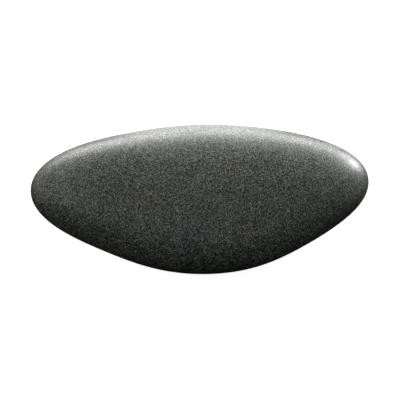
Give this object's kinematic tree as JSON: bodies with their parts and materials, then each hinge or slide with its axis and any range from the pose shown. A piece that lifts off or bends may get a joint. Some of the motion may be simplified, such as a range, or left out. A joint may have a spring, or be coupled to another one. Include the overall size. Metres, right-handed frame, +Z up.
{
  "type": "massage stone",
  "caption": "Smooth hand-held massage stone: a flattened, rounded half-moon pebble of dark basalt with a crowned top, rounded rim and ground flat underside.",
  "frame": {"origin": "middle of the outline seen from above, on the surface that the stone lies on", "axes": "+X along the length, +Y from the blunt belly towards the gently arched back, +Z up out of the crowned top"},
  "size_m": [0.11, 0.0534, 0.024],
  "materials": {
    "basalt": "satin"
  },
  "bodies": {
    "root": {"massage_stone": "basalt"}
  },
  "joints": []
}
